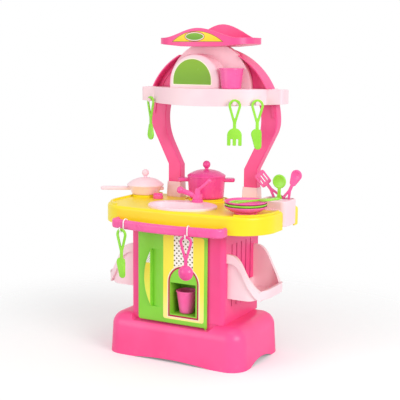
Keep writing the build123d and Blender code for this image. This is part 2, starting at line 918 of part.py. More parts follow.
def shelf_outline(inset):
    """The shelf's plan, with a bowed front that runs round into the sides."""
    half = shelf_half - inset
    radius = shelf_bow_radius - inset
    corner_y = bow_centre_y - math.sqrt(radius**2 - half**2)
    back = shelf_back - inset
    with BuildSketch() as plan:
        with BuildLine():
            ThreePointArc((-half, corner_y), (0, bow_centre_y - radius), (half, corner_y))
            Polyline((half, corner_y), (half, back), (-half, back), (-half, corner_y))
        make_face()
        fillet(plan.vertices().group_by(Axis.Y)[0], shelf_corner - inset)
    return plan.sketch


ear_half = arch_outer + ear_beyond
ear_front = limb_front - ear_before
ear_back = limb_back + ear_behind


def ear_outline(inset):
    """The bar whose ends are the shelf's ears, seen from above."""
    with BuildSketch() as plan:
        with Locations((0, (ear_front + ear_back) / 2)):
            RectangleRounded(2 * (ear_half - inset), ear_back - ear_front - 2 * inset, ear_corner - inset)
    return plan.sketch


def peg_plane(x, y, turn):
    """A plane on a peg's root: its Z axis points out along the peg, its Y axis up."""
    angle = math.radians(turn)
    outward = (math.sin(angle), -math.cos(angle), 0)
    along = (math.cos(angle), math.sin(angle), 0)
    return Plane((x, y, peg_z), x_dir=along, z_dir=outward)


fork_peg = peg_plane(fork_peg_x, fork_peg_y, fork_peg_turn)
knife_peg = peg_plane(side_peg_x, side_peg_y, side_peg_turn)
spoon_peg = peg_plane(-side_peg_x, side_peg_y, -side_peg_turn)

# Upper shelf
with BuildPart() as shelf_limb_room:
    with BuildSketch(Plane.XZ.offset(-limb_back - slip)):
        add(limb_outline(slip, -slip))
    extrude(amount=limb_depth + limb_bead_proud + 2 * slip)
    mirror(about=Plane.YZ)

with BuildPart() as shelf_void:
    with BuildSketch(Plane.XY.offset(shelf_top - 2 * shelf_apron)):
        add(shelf_outline(shelf_wall))
        add(ear_outline(shelf_wall))
    extrude(amount=2 * shelf_apron - shelf_wall)
    with BuildSketch(Plane.XY.offset(shelf_top - shelf_wall)):
        for side in (-1, 1):
            with Locations((side * (arch_outer - arch_width), limb_middle_y)):
                Rectangle(2 * arch_width, limb_depth + 2 * (shelf_wall + limb_bead_proud))
    extrude(amount=-2 * shelf_apron, mode=Mode.SUBTRACT)

with BuildPart() as shelf_ears:
    with BuildSketch(Plane.XY.offset(shelf_top - 2 * shelf_apron)):
        add(ear_outline(0))
    extrude(amount=2 * shelf_apron - ear_drop)
    fillet(shelf_ears.faces().sort_by(Axis.Z)[-1].edges(), shelf_edge)

with BuildPart() as upper_shelf:
    with BuildSketch(Plane.XY.offset(shelf_top - 2 * shelf_apron)):
        add(shelf_outline(0))
    extrude(amount=2 * shelf_apron)
    fillet(upper_shelf.faces().sort_by(Axis.Z)[-1].edges(), shelf_edge)
    add(shelf_ears.part)
    add(shelf_void.part, mode=Mode.SUBTRACT)
    with BuildSketch(Plane.XZ):
        with BuildLine():
            edge_low = shelf_top - shelf_apron
            wide = ear_half + ear_beyond
            ThreePointArc((-wide, edge_low), (0, edge_low - shelf_sag), (wide, edge_low))
            floor = shelf_top - 3 * shelf_apron
            Polyline((wide, edge_low), (wide, floor), (-wide, floor), (-wide, edge_low))
        make_face()
    extrude(amount=2 * shelf_back, both=True, mode=Mode.SUBTRACT)
    for peg in (fork_peg, knife_peg, spoon_peg):
        with BuildSketch(peg.offset(-shelf_wall)):
            Circle(peg_radius)
        extrude(amount=peg_length + shelf_wall)
        with BuildSketch(peg.offset(peg_length)):
            Circle(peg_end_radius)
        extrude(amount=peg_end_thick)
    add(shelf_limb_room.part, mode=Mode.SUBTRACT)
save(upper_shelf.part, "upper_shelf")


def panel_form(inset):
    """The half-round panel with the arched oven in front of it."""
    with BuildPart() as form:
        with BuildSketch(Plane.XZ.offset(-limb_front + limb_bead_proud + slip)):
            with Locations((0, shelf_top)):
                Circle(panel_radius - inset)
            with Locations((0, shelf_top - panel_radius)):
                Rectangle(2 * panel_radius, 2 * panel_radius, mode=Mode.SUBTRACT)
            with Locations((0, canopy_low + panel_radius - inset)):
                Rectangle(2 * panel_radius, 2 * panel_radius, mode=Mode.SUBTRACT)
        extrude(amount=limb_front - limb_bead_proud - slip - panel_front - inset)
        with BuildSketch(Plane.XZ.offset(-panel_front - inset)):
            with Locations((oven_x, shelf_top + oven_sides)):
                Circle(oven_half - inset)
            with Locations((oven_x, shelf_top + oven_sides - oven_half)):
                Rectangle(2 * oven_half, 2 * oven_half, mode=Mode.SUBTRACT)
            with Locations((oven_x, shelf_top + oven_sides / 2)):
                Rectangle(2 * (oven_half - inset), oven_sides)
        extrude(amount=panel_front - oven_front)
        front = form.faces().sort_by(Axis.Y)[0]
        fillet(front.edges().sort_by(Axis.Z)[1:], oven_edge - inset)
    return form.part


# Oven panel
with BuildPart() as oven_panel:
    add(panel_form(0))
    add(panel_form(panel_wall), mode=Mode.SUBTRACT)
save(oven_panel.part, "oven_panel")


def canopy_outline(inset):
    """The canopy's plan, bowed in front and behind."""
    half = canopy_half - inset
    front = canopy_front + inset
    back = canopy_back - inset
    with BuildSketch() as plan:
        with BuildLine():
            ThreePointArc((-half, front + canopy_bow), (0, front), (half, front + canopy_bow))
            Line((half, front + canopy_bow), (half, back - canopy_bow))
            ThreePointArc((half, back - canopy_bow), (0, back), (-half, back - canopy_bow))
            Line((-half, back - canopy_bow), (-half, front + canopy_bow))
        make_face()
        fillet(plan.vertices(), canopy_corner - inset)
    return plan.sketch


def canopy_wave(peak):
    """What is above the wavy rim of one long wall."""
    top = canopy_rear_peak + 2 * canopy_wall
    end = canopy_half + canopy_wall
    with BuildSketch() as above:
        with BuildLine():
            Spline(
                (-end, canopy_rim),
                (-canopy_wave_half, canopy_rim),
                (0, peak),
                (canopy_wave_half, canopy_rim),
                (end, canopy_rim),
                tangents=((1, 0), (1, 0)),
            )
            Polyline((end, canopy_rim), (end, top), (-end, top), (-end, canopy_rim))
        make_face()
    return above.sketch


# Canopy
canopy_middle = (canopy_front + canopy_back) / 2
with BuildPart() as canopy:
    with BuildSketch(Plane.XY.offset(canopy_low)):
        add(canopy_outline(0))
    extrude(amount=canopy_rear_peak - canopy_low + canopy_wall)
    with BuildSketch(Plane.XY.offset(canopy_low + canopy_end_lift + canopy_wall)):
        add(canopy_outline(canopy_wall))
    extrude(amount=canopy_rear_peak - canopy_low, mode=Mode.SUBTRACT)
    with BuildSketch(Plane.XZ):
        for side in (-1, 1):
            with BuildLine():
                Polyline(
                    (side * canopy_flat, canopy_low),
                    (side * canopy_half, canopy_low),
                    (side * canopy_half, canopy_low + canopy_end_lift),
                    close=True,
                )
            make_face()
    extrude(amount=2 * canopy_back, both=True, mode=Mode.SUBTRACT)
    with BuildSketch(Plane.XZ.offset(-canopy_middle)):
        add(canopy_wave(canopy_front_peak))
    extrude(amount=canopy_back, mode=Mode.SUBTRACT)
    with BuildSketch(Plane.XZ.offset(-canopy_middle)):
        add(canopy_wave(canopy_rear_peak))
    extrude(amount=-canopy_back, mode=Mode.SUBTRACT)
save(canopy.part, "canopy")

# Towel rail
rail_leg_y = worktop_front + worktop_front_corner / 2
with BuildPart() as towel_rail:
    with BuildLine(Plane.XY.offset(rail_middle_z)):
        FilletPolyline(
            (-rail_half, rail_leg_y),
            (-rail_half, rail_end),
            (-rail_mid_half, rail_mid),
            (rail_mid_half, rail_mid),
            (rail_half, rail_end),
            (rail_half, rail_leg_y),
            radius=[rail_corner, rail_mid_round, rail_mid_round, rail_corner],
        )
    with BuildSketch(Plane((-rail_half, rail_leg_y, rail_middle_z), x_dir=(1, 0, 0), z_dir=(0, -1, 0))):
        SlotOverall(rail_tall, rail_thick, rotation=90)
    sweep()
    with BuildSketch(Plane.XY.offset(rail_low)):
        add(worktop_outline(0))
    extrude(amount=worktop_skirt, mode=Mode.SUBTRACT)
save(towel_rail.part, "towel_rail")

hook_reach = rail_thick / 2 + hook_wire + air
hang_reach = hook_reach + hook_curl
hang_rise = hook_wire + air + loop_bar - hook_drop - hook_curl


def hook_plane(x):
    """A plane square to the rail at x: its X axis points away from the kitchen, its Y axis up."""
    tilt = math.atan(rail_slope)
    outward = Vector(math.copysign(math.sin(tilt), x), -math.cos(tilt), 0)
    y = rail_mid + (abs(x) - rail_mid_half) * rail_slope
    saddle_z = rail_low + rail_tall - rail_thick / 2
    return Plane((x, y, saddle_z), x_dir=outward, z_dir=outward.cross(Vector(0, 0, 1)))


def rail_hook(plane):
    """An S-hook of round wire over the rail."""
    with BuildPart() as form:
        with BuildLine(plane) as wire:
            Line((-hook_reach, -hook_back), (-hook_reach, 0))
            CenterArc((0, 0), hook_reach, 180, -180)
            Line((hook_reach, 0), (hook_reach, -hook_drop))
            CenterArc((hang_reach, -hook_drop), hook_curl, 180, 180)
            Line((hang_reach + hook_curl, -hook_drop), (hang_reach + hook_curl, hook_tip - hook_drop))
        with BuildSketch(Plane(wire.line @ 0, z_dir=wire.line % 0)):
            Circle(hook_wire)
        sweep()
    return form.part


# Hooks
ladle_hook_plane = hook_plane(ladle_x)
knife_hook_plane = hook_plane(knife_x)
with BuildPart() as ladle_hook:
    add(rail_hook(ladle_hook_plane))
save(ladle_hook.part, "ladle_hook")

with BuildPart() as knife_hook:
    add(rail_hook(knife_hook_plane))
save(knife_hook.part, "knife_hook")

# Baskets
basket_start = cabinet_half
basket_end = cabinet_half + basket_reach
basket_body_end = basket_end - basket_band_proud


def basket_rim(drop):
    """Points of a basket's swept rim, from the cabinet outwards."""
    fall = basket_high - basket_trough
    return [
        (basket_start, basket_high - drop),
        (basket_start + rim_brow_reach * basket_reach, basket_high - drop - rim_brow_fall * fall),
        (basket_start + rim_slope_reach * basket_reach, basket_high - drop - rim_slope_fall * fall),
        (basket_start + rim_toe_reach * basket_reach, basket_high - drop - rim_toe_fall * fall),
        (basket_start + rim_trough_reach * basket_reach, basket_trough - drop),
        (basket_end, basket_lip_z - drop),
    ]


def basket_floor_arc(lift):
    """The curve from a basket's flat floor up to its outer lip."""
    lip_low = basket_lip_z - basket_lip_tall
    bend_z = basket_low + floor_bend_rise * (lip_low - basket_low) + lift
    bend = (basket_start + floor_bend_reach * basket_reach, bend_z)
    return ThreePointArc((basket_end, lip_low + lift), bend, (basket_start + basket_foot, basket_low + lift))


def basket_plan(end, front, back, corner):
    """A basket's plan, square at the cabinet and round outside."""
    with BuildSketch() as plan:
        with Locations(((basket_start + end) / 2, (front + back) / 2)):
            Rectangle(end - basket_start, back - front)
        fillet(plan.vertices().group_by(Axis.X)[-1], corner)
    return plan.sketch


basket_tall = basket_high - basket_low
basket_body_corner = basket_corner - basket_band_proud
with BuildPart() as basket_body:
    with BuildSketch(Plane.XZ.offset(-basket_back)):
        with BuildLine():
            Spline(*basket_rim(0), tangents=((1, 0), (1, 0)))
            Line((basket_end, basket_lip_z), (basket_end, basket_lip_z - basket_lip_tall))
            basket_floor_arc(0)
            Polyline(
                (basket_start + basket_foot, basket_low),
                (basket_start, basket_low),
                (basket_start, basket_high),
            )
        make_face()
    extrude(amount=basket_back - basket_front)
    with BuildSketch(Plane.XY.offset(basket_low)):
        add(basket_plan(basket_body_end, basket_front, basket_back, basket_body_corner))
    extrude(amount=basket_tall, mode=Mode.INTERSECT)

with BuildPart() as basket_collar:
    with BuildSketch(Plane.XZ.offset(-basket_back - basket_band_proud)):
        with BuildLine():
            Spline(*basket_rim(0), tangents=((1, 0), (1, 0)))
            Line((basket_end, basket_lip_z), (basket_end, basket_lip_z - basket_band))
            Spline(*basket_rim(basket_band), tangents=((1, 0), (1, 0)))
            Line((basket_start, basket_high - basket_band), (basket_start, basket_high))
        make_face()
    extrude(amount=basket_back - basket_front + 2 * basket_band_proud)
    with BuildSketch(Plane.XY.offset(basket_low)):
        add(
            basket_plan(
                basket_end,
                basket_front - basket_band_proud,
                basket_back + basket_band_proud,
                basket_corner,
            )
        )
    extrude(amount=basket_tall, mode=Mode.INTERSECT)

with BuildPart() as basket_void:
    with BuildSketch(Plane.XZ.offset(-basket_back)):
        with BuildLine():
            basket_floor_arc(basket_wall)
            Polyline(
                (basket_start + basket_foot, basket_low + basket_wall),
                (basket_start + basket_wall, basket_low + basket_wall),
                (basket_start + basket_wall, basket_low + basket_sill),
                (basket_start, basket_low + basket_sill),
                (basket_start, basket_high + basket_wall),
                (basket_end, basket_high + basket_wall),
                (basket_end, basket_lip_z - basket_lip_tall + basket_wall),
            )
        make_face()
    extrude(amount=basket_back - basket_front)
    with BuildSketch(Plane.XY.offset(basket_low)):
        add(
            basket_plan(
                basket_body_end - basket_wall,
                basket_front + basket_wall,
                basket_back - basket_wall,
                basket_body_corner - basket_wall,
            )
        )
    extrude(amount=2 * basket_tall, mode=Mode.INTERSECT)

with BuildPart() as right_basket:
    add(basket_body.part)
    add(basket_collar.part)
    add(basket_void.part, mode=Mode.SUBTRACT)
    with BuildSketch(Plane.YZ.offset(basket_start)):
        with Locations((slot_middle, basket_tab_z)):
            with GridLocations((slot_count - 1) * slot_pitch, 1, 2, 1):
                Rectangle(slot_width - 2 * slip, basket_tab_tall)
    extrude(amount=-cabinet_wall - basket_tab_beyond)
save(right_basket.part, "right_basket")

with BuildPart() as left_basket:
    mirror(right_basket.part, about=Plane.YZ)
save(left_basket.part, "left_basket")

# Utensil holder
holder_middle_x = (holder_left + holder_right) / 2
holder_middle_y = (holder_front + holder_back) / 2
flange_left = holder_left - holder_flange
flange_right = worktop_right - worktop_round
holder_inner_width = holder_right - holder_left - 2 * holder_wall
holder_inner_corner = holder_corner - holder_wall
with BuildPart() as utensil_holder:
    with BuildSketch(Plane((holder_middle_x, holder_middle_y, holder_low))):
        RectangleRounded(holder_right - holder_left, holder_back - holder_front, holder_corner)
    extrude(amount=holder_top - holder_low)
    ends = utensil_holder.faces().sort_by(Axis.Z)
    fillet(ends[0].edges() + ends[-1].edges(), holder_edge)
    with BuildSketch(Plane(((flange_left + flange_right) / 2, holder_middle_y, worktop_top))):
        RectangleRounded(
            flange_right - flange_left,
            holder_back - holder_front + 2 * holder_flange,
            holder_flange,
        )
    extrude(amount=holder_flange_thick)
    with BuildSketch(Plane.XY.offset(holder_low + holder_wall)):
        with Locations((holder_middle_x, (holder_slot_front + holder_back - holder_wall) / 2)):
            RectangleRounded(
                holder_inner_width,
                holder_back - holder_wall - holder_slot_front,
                holder_inner_corner,
            )
    extrude(amount=holder_top - holder_low, mode=Mode.SUBTRACT)
    with BuildSketch(Plane.XY.offset(holder_low)):
        with Locations((holder_middle_x, (holder_front + holder_slot_front) / 2)):
            RectangleRounded(
                holder_inner_width,
                holder_slot_front - holder_front - 2 * holder_wall,
                holder_inner_corner,
            )
    extrude(amount=holder_top - holder_low - holder_wall, mode=Mode.SUBTRACT)
save(utensil_holder.part, "utensil_holder")

# Outlines of the cutlery: the loop's top is at the origin and the head hangs down
with BuildSketch() as loop_hole:
    with Locations((0, -loop_radius)):
        Circle(loop_radius - loop_bar)
    with Locations((0, -loop_hole_end)):
        Circle(loop_hole_tip)
    make_hull()

with BuildSketch() as handle:
    with Locations((0, -loop_radius)):
        Circle(loop_radius)
    with Locations((0, -loop_length)):
        Circle(neck_half)
    make_hull()
    with Locations((0, -(loop_length + neck_end) / 2)):
        Rectangle(2 * neck_half, neck_end - loop_length)
    add(loop_hole.sketch, mode=Mode.SUBTRACT)

fork_middle = head_start + fork_radius
with BuildSketch() as fork_head:
    with Locations((0, -fork_middle)):
        Circle(fork_radius)
    with Locations((0, -(fork_middle + utensil_length) / 2)):
        Rectangle(2 * fork_radius, utensil_length - fork_middle)
    with Locations((0, tine_length / 2 - utensil_length)):
        with GridLocations((2 * fork_radius + tine_gap) / 3, 1, 2, 1):
            Rectangle(tine_gap, tine_length, mode=Mode.SUBTRACT)
    fillet(fork_head.vertices().group_by(Axis.Y)[0], tine_round)

with BuildSketch() as knife_head:
    with Locations((-blade_sweep, -head_start - blade_belly - blade_sweep)):
        Circle(blade_belly)
    with Locations((blade_sweep, blade_tip - knife_length)):
        Circle(blade_tip)
    with Locations((3 * blade_sweep, -head_start - 2 * blade_heel)):
        Circle(blade_heel)
    make_hull()

with BuildSketch() as spoon_head:
    with Locations((0, spoon_half - utensil_length)):
        Circle(spoon_half)
    with Locations((0, -head_start - spoon_shoulder)):
        Circle(spoon_shoulder)
    make_hull()

with BuildSketch() as petal_head:
    with Locations((0, petal_half - utensil_length)):
        Circle(petal_half)
    with Locations((0, -head_start - petal_shoulder)):
        Circle(petal_shoulder)
    make_hull()

round_middle = head_start + round_spoon_radius
with BuildSketch() as round_head:
    with Locations((0, -round_middle)):
        Circle(round_spoon_radius)

with BuildSketch() as turner_head:
    with Locations((0, -head_start - turner_length / 2)):
        RectangleRounded(2 * turner_half, turner_length, turner_round)
        with GridLocations(turner_slot_pitch, 1, 3, 1):
            SlotOverall(turner_slot_length, turner_slot_width, rotation=90, mode=Mode.SUBTRACT)

ladle_middle = head_start + ladle_radius
with BuildSketch() as ladle_head:
    with Locations((0, -ladle_middle)):
        Circle(ladle_radius)


def hung_plane(hook):
    """The plane of a piece of cutlery hung on a hook."""
    top = hook.origin + hook.x_dir * hang_reach + Vector(0, 0, hang_rise)
    return Plane(top, x_dir=-hook.z_dir, z_dir=hook.x_dir)


def pegged_plane(peg):
    """The plane of a piece of cutlery hung on a peg."""
    top = peg.offset(peg_hang).origin + Vector(0, 0, peg_radius + air + loop_bar)
    return Plane(top, x_dir=peg.x_dir, z_dir=peg.z_dir)


def stood_plane(x, y, lean, depth):
    """The plane of a piece of cutlery stood in the holder with its head up."""
    angle = math.radians(lean)
    up = Vector(math.sin(angle), 0, math.cos(angle))
    return Plane(Vector(x, y, holder_top) - up * depth, x_dir=(-up.Z, 0, up.X), z_dir=(0, -1, 0))


def utensil(plane, head):
    """One flat piece of cutlery with rounded edges."""
    with BuildPart() as form:
        with BuildSketch():
            add(handle.sketch)
            add(head.sketch)
        extrude(amount=utensil_thick / 2, both=True)
        fillet(form.faces().filter_by(Axis.Z).edges(), utensil_edge)
    return form.part.moved(plane.location)


def dish(plane, middle, half):
    """The ball that hollows a spoon's head a little."""
    radius = (half**2 + dish_deep**2) / (2 * dish_deep)
    with BuildPart() as form:
        with Locations(plane.from_local_coords((0, -middle, utensil_thick / 2 + radius - dish_deep))):
            Sphere(radius)
    return form.part


# Cutlery
ladle_plane = hung_plane(ladle_hook_plane)
dome_foot = ladle_radius - utensil_edge
dome_radius = (dome_foot**2 + ladle_dome**2) / (2 * ladle_dome)
dome_centre = (0, -ladle_middle, utensil_thick / 2 + ladle_dome - dome_radius)
with BuildPart() as ladle_bowl:
    with Locations(ladle_plane.from_local_coords(dome_centre)):
        Sphere(dome_radius)
        Sphere(dome_radius - ladle_wall, mode=Mode.SUBTRACT)
    split(bisect_by=ladle_plane, keep=Keep.TOP)

with BuildPart() as hanging_ladle:
    add(utensil(ladle_plane, ladle_head))
    with BuildSketch(ladle_plane):
        with Locations((0, -ladle_middle)):
            Circle(ladle_radius - ladle_wall - utensil_edge)
    extrude(amount=utensil_thick, both=True, mode=Mode.SUBTRACT)
    add(ladle_bowl.part)
save(hanging_ladle.part, "hanging_ladle")

with BuildPart() as hanging_knife:
    add(utensil(hung_plane(knife_hook_plane), knife_head))
save(hanging_knife.part, "hanging_knife")

shelf_spoon_plane = pegged_plane(spoon_peg)
with BuildPart() as shelf_spoon:
    add(utensil(shelf_spoon_plane, spoon_head))
    add(dish(shelf_spoon_plane, utensil_length - spoon_half, spoon_half - dish_margin), mode=Mode.SUBTRACT)
save(shelf_spoon.part, "shelf_spoon")

with BuildPart() as shelf_fork:
    add(utensil(pegged_plane(fork_peg), fork_head))
save(shelf_fork.part, "shelf_fork")

with BuildPart() as shelf_knife:
    add(utensil(pegged_plane(knife_peg), knife_head))
save(shelf_knife.part, "shelf_knife")

with BuildPart() as holder_turner:
    add(utensil(stood_plane(turner_stand_x, turner_stand_y, turner_lean, turner_depth), turner_head))
save(holder_turner.part, "holder_turner")

petal_plane = stood_plane(petal_stand_x, petal_stand_y, petal_lean, petal_depth)
with BuildPart() as holder_blade:
    add(utensil(petal_plane, petal_head))
    add(dish(petal_plane, utensil_length - petal_half, petal_half - dish_margin), mode=Mode.SUBTRACT)
save(holder_blade.part, "holder_blade")

round_plane = stood_plane(round_stand_x, round_stand_y, round_lean, round_depth)
with BuildPart() as holder_round_spoon:
    add(utensil(round_plane, round_head))
    add(dish(round_plane, round_middle, round_spoon_radius - dish_margin), mode=Mode.SUBTRACT)
save(holder_round_spoon.part, "holder_round_spoon")


def turned(place, points):
    """A solid turned about the upright line through place, from radius and height pairs."""
    with BuildPart() as form:
        with BuildSketch(Plane(place, x_dir=(1, 0, 0), z_dir=(0, -1, 0))):
            with BuildLine():
                Polyline(*points, close=True)
            make_face()
        revolve(axis=Axis(place, (0, 0, 1)))
    return form.part


def hollow(place, foot, rim, height, wall):
    """The room inside a vessel."""
    return turned(place, [(0, wall), (foot - wall, wall), (rim - wall, height), (0, height)])


def lid_shell(place, radius, dome, neck):
    """The turned outline of a lid's dome over its lip."""
    top = lid_lip + dome
    with BuildPart() as form:
        with BuildSketch(Plane(place, x_dir=(1, 0, 0), z_dir=(0, -1, 0))):
            with BuildLine():
                Polyline((neck, top), (0, top), (0, 0), (radius, 0), (radius, lid_lip))
                shoulder = (lid_shoulder_out * radius, lid_lip + lid_shoulder_up * dome)
                ThreePointArc((radius, lid_lip), shoulder, (neck, top))
            make_face()
        revolve(axis=Axis(place, (0, 0, 1)))
    return form.part


def lid(place, radius, dome, knob):
    """A domed lid with a ball knob, hollow below."""
    inner_place = place + Vector(0, 0, -vessel_wall)
    knob_z = lid_lip + dome + lid_neck + knob
    with BuildPart() as form:
        add(lid_shell(place, radius, dome, knob / 2))
        add(lid_shell(inner_place, radius - 2 * vessel_wall, dome, knob / 2), mode=Mode.SUBTRACT)
        with BuildSketch(Plane(place + Vector(0, 0, lid_lip + dome - vessel_wall))):
            Circle(knob / 2)
        extrude(amount=vessel_wall + lid_neck + knob)
        with Locations(place + Vector(0, 0, knob_z)):
            Sphere(knob)
    return form.part


# Pot
pot_place = Vector(pot_x, pot_y, hob_top + air)
pot_handle_dir = (math.cos(math.radians(pot_turn)), math.sin(math.radians(pot_turn)), 0)
with BuildPart() as pot_handles:
    with BuildSketch(Plane(pot_place + Vector(0, 0, pot_handle_z), x_dir=pot_handle_dir)):
        RectangleRounded(2 * (pot_radius + pot_handle_reach), pot_handle_width, pot_handle_round)
    extrude(amount=pot_handle_thick)
    fillet(pot_handles.faces().filter_by(Axis.Z).edges(), pot_handle_edge)

with BuildPart() as pot:
    add(turned(pot_place, [(0, 0), (pot_foot, 0), (pot_radius, pot_height), (0, pot_height)]))
    fillet(pot.edges().group_by(Axis.Z)[0], pot_foot_round)
    add(pot_handles.part)
    add(hollow(pot_place, pot_foot, pot_radius, pot_height, vessel_wall), mode=Mode.SUBTRACT)
save(pot.part, "pot")

pot_lid_place = pot_place + Vector(0, 0, pot_height + air)
with BuildPart() as pot_lid:
    add(lid(pot_lid_place, pot_radius + lid_overhang, pot_lid_dome, pot_knob_radius))
save(pot_lid.part, "pot_lid")

# Pan
pan_place = Vector(pan_x, pan_y, hob_top + air)
pan_dir = (math.cos(math.radians(pan_turn)), math.sin(math.radians(pan_turn)), 0)
pan_handle_z = pan_height - pan_handle_below_rim - pan_handle_thick
pan_span = 2 * pan_radius + pan_handle_reach + pan_lug_reach
with BuildPart() as pan_handle:
    with BuildSketch(Plane(pan_place + Vector(0, 0, pan_handle_z), x_dir=pan_dir)):
        with Locations(((pan_handle_reach - pan_lug_reach) / 2, 0)):
            SlotOverall(pan_span, pan_handle_width)
    extrude(amount=pan_handle_thick)
    fillet(pan_handle.faces().filter_by(Axis.Z).edges(), pan_handle_edge)

with BuildPart() as pan:
    add(turned(pan_place, [(0, 0), (pan_foot, 0), (pan_radius, pan_height), (0, pan_height)]))
    fillet(pan.edges().group_by(Axis.Z)[0], vessel_foot_round)
    add(pan_handle.part)
    add(hollow(pan_place, pan_foot, pan_radius, pan_height, vessel_wall), mode=Mode.SUBTRACT)
save(pan.part, "pan")

pan_lid_place = pan_place + Vector(0, 0, pan_height + air)
with BuildPart() as pan_lid:
    add(lid(pan_lid_place, pan_radius + pan_lid_overhang, pan_lid_dome, pan_knob_radius))
save(pan_lid.part, "pan_lid")


def plate(z):
    """A round plate on a foot ring, its foot at height z."""
    floor = plate_foot_ring
    rim = floor + plate_rise
    ring_inner = plate_foot - plate_foot_ring_width
    half_way = (plate_foot + plate_radius) / 2
    half_up = floor + plate_curve * plate_rise
    with BuildPart() as form:
        with BuildSketch(Plane((plate_x, plate_y, z), x_dir=(1, 0, 0), z_dir=(0, -1, 0))):
            with BuildLine():
                Polyline(
                    (0, floor),
                    (ring_inner, floor),
                    (ring_inner, 0),
                    (plate_foot, 0),
                    (plate_foot, floor),
                )
                ThreePointArc((plate_foot, floor), (half_way, half_up), (plate_radius, rim))
                Line((plate_radius, rim), (plate_radius, rim + plate_wall))
                ThreePointArc(
                    (plate_radius, rim + plate_wall),
                    (half_way, half_up + plate_wall),
                    (plate_foot, floor + plate_wall),
                )
                Polyline((plate_foot, floor + plate_wall), (0, floor + plate_wall), (0, floor))
            make_face()
        revolve(axis=Axis((plate_x, plate_y, 0), (0, 0, 1)))
    return form.part


# Plates
plate_low = worktop_top + air
with BuildPart() as plate_lower:
    add(plate(plate_low))
save(plate_lower.part, "plate_lower")

with BuildPart() as plate_middle:
    add(plate(plate_low + plate_pitch))
save(plate_middle.part, "plate_middle")

with BuildPart() as plate_upper:
    add(plate(plate_low + 2 * plate_pitch))
save(plate_upper.part, "plate_upper")

knife_turn = math.radians(plate_knife_turn)
knife_tilt = math.atan(plate_knife_dip / (plate_radius + plate_knife_back))
knife_level = Vector(math.cos(knife_turn), math.sin(knife_turn), 0)
knife_rim_z = plate_low + 2 * plate_pitch + plate_foot_ring + plate_rise + plate_wall
knife_up = Vector(0, 0, math.cos(knife_tilt)) - knife_level * math.sin(knife_tilt)
knife_end = Vector(plate_x, plate_y, knife_rim_z - plate_knife_dip) - knife_level * plate_knife_back
plate_knife_plane = Plane(
    knife_end + knife_up * (air + utensil_thick / 2),
    x_dir=(-knife_level.Y, knife_level.X, 0),
    z_dir=knife_up,
)
with BuildPart() as plate_knife:
    add(utensil(plate_knife_plane, knife_head))
save(plate_knife.part, "plate_knife")


def cup(place, foot, rim, height):
    """A tumbler with a proud lip."""
    lip_low = height - cup_lip_tall
    lip = rim + cup_lip
    with BuildPart() as form:
        add(turned(place, [(0, 0), (foot, 0), (rim, lip_low), (lip, lip_low), (lip, height), (0, height)]))
        fillet(form.edges().group_by(Axis.Z)[0], vessel_foot_round)
        add(hollow(place, foot, rim, height, cup_wall), mode=Mode.SUBTRACT)
    return form.part


# Cups
niche_cup_y = door_front + niche_depth / 2
with BuildPart() as niche_cup:
    niche_cup_place = Vector(niche_cup_x, niche_cup_y, niche_low + air)
    add(cup(niche_cup_place, niche_cup_foot, niche_cup_rim, niche_cup_height))
save(niche_cup.part, "niche_cup")

with BuildPart() as shelf_cup:
    shelf_cup_place = Vector(shelf_cup_x, shelf_cup_y, shelf_top + air)
    add(cup(shelf_cup_place, shelf_cup_foot, shelf_cup_rim, shelf_cup_height))
save(shelf_cup.part, "shelf_cup")
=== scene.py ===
# %% [markdown]
# # A toy kitchen, dressed for its picture
# Every moulding of this toy comes from the CAD model: the shells, the door, the pots, the plates
# and the cutlery. This lesson gives each of them a plastic that looks right, adds the printed labels,
# and sets up the picture. The imported model comes in first as a fixed frame.

import math

import bmesh
import bpy
from mathutils import Color, Matrix, Vector


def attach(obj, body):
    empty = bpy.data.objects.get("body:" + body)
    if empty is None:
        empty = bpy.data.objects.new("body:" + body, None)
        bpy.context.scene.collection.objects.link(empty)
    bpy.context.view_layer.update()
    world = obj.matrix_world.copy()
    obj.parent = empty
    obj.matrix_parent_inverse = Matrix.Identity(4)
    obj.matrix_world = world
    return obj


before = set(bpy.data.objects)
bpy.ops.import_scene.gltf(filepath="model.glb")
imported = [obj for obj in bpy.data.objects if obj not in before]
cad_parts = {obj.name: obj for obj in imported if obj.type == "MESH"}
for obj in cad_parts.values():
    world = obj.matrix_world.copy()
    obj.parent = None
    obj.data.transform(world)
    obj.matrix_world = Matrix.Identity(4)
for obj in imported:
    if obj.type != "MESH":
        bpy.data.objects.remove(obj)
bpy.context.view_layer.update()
scene = bpy.context.scene

# %% [markdown]
# ## The camera
# A catalogue picture is taken from a few paces away with a long lens,
# so the upright edges stay almost parallel.
# The eye and the point it looks at were found by matching the toy's corners with the picture's.
# A track quaternion aims the camera, and a small turn about its own axis levels it like the real one.

# %% Camera
eye = Vector((1.123, -2.066, 0.751))
target = Vector((0.0118, 0.0063, 0.3907))
camera_roll = math.radians(0.45)
lens = bpy.data.cameras.new("picture_camera")
lens.sensor_width = 36
lens.lens = 84.93
camera = bpy.data.objects.new("picture_camera", lens)


def aimed(place, at):
    """A matrix that stands at a place and looks at a point."""
    turn = (at - place).to_track_quat("-Z", "Y")
    return Matrix.Translation(place) @ turn.to_matrix().to_4x4()


camera.matrix_world = aimed(eye, target) @ Matrix.Rotation(camera_roll, 4, "Z")
scene.collection.objects.link(camera)
scene.camera = camera
scene.view_settings.view_transform = "Standard"
print("camera stands", round((target - eye).length, 2), "m away")

# %% [markdown]
# ## Sums with sockets
# Finishes are networks of nodes, and most of those nodes only add or multiply.
# Written out link by link they are hard to read, so a small class wraps one output of a node.
# Python's own signs then add the Math nodes, and one method, called node, makes every other kind.
# A few short methods stand for the nodes that are used again and again.


